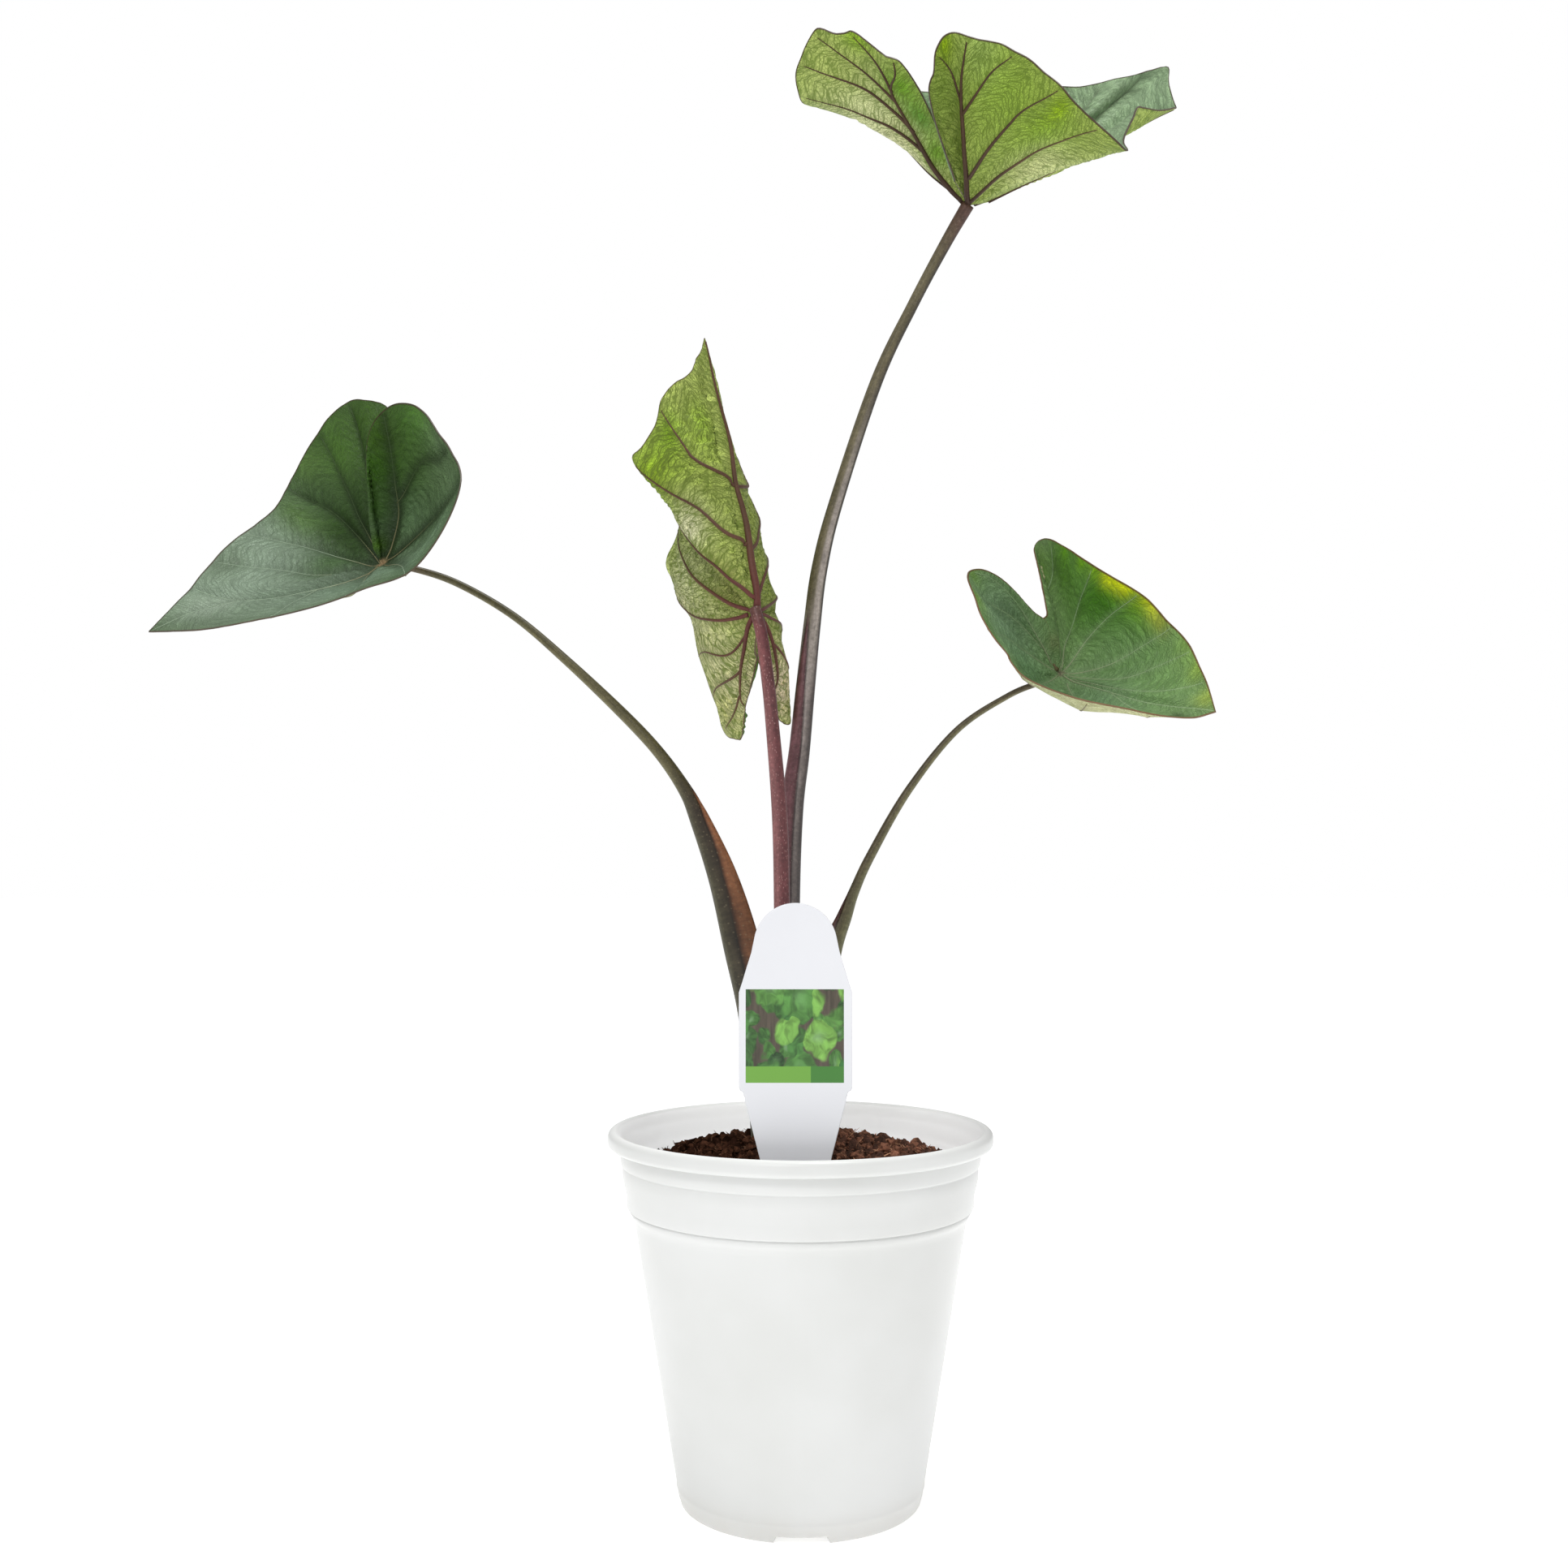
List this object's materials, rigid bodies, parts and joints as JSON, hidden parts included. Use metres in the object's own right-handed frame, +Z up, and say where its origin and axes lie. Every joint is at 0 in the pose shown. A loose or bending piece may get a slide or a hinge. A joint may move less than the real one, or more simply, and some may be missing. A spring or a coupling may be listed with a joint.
{
  "type": "potted coffee cups elephant ear",
  "caption": "Young elephant ear plant with cup-shaped leaves on slim arching stalks, growing in a white plastic grower's pot with a plant tag.",
  "frame": {"origin": "centre of the pot's base, on the surface that it stands on", "axes": "+Z up along the pot's axis; the front with the plant tag faces -Y; the low left leaf reaches towards -X"},
  "size_m": [0.3082, 0.1142, 0.4403],
  "materials": {
    "pot": "white moulded plastic, satin",
    "soil": "damp brown peat mix with crumbs and fibres",
    "plant_tag": "white printed plastic label",
    "leaf_left": "dark green leaf, upper side with a soft bluish sheen",
    "leaf_right": "green leaf with pale veins, one margin turning yellow",
    "leaf_tall": "bright green leaf, underside with raised dark ribs",
    "leaf_middle": "yellow-green leaf, underside with raised ribs",
    "stalk_left": "dark olive stalk with a rusty sheath edge",
    "stalk_right": "olive stalk with a dark sheath",
    "stalk_tall": "purple-brown stalk with a dark slit",
    "stalk_middle": "wine red stalk with fine pale specks"
  },
  "bodies": {
    "root": {"pot": "pot", "soil": "soil", "plant_tag": "plant_tag", "leaf_left": "leaf_left", "leaf_right": "leaf_right", "leaf_tall": "leaf_tall", "leaf_middle": "leaf_middle", "stalk_left": "stalk_left", "stalk_right": "stalk_right", "stalk_tall": "stalk_tall", "stalk_middle": "stalk_middle"}
  },
  "joints": []
}
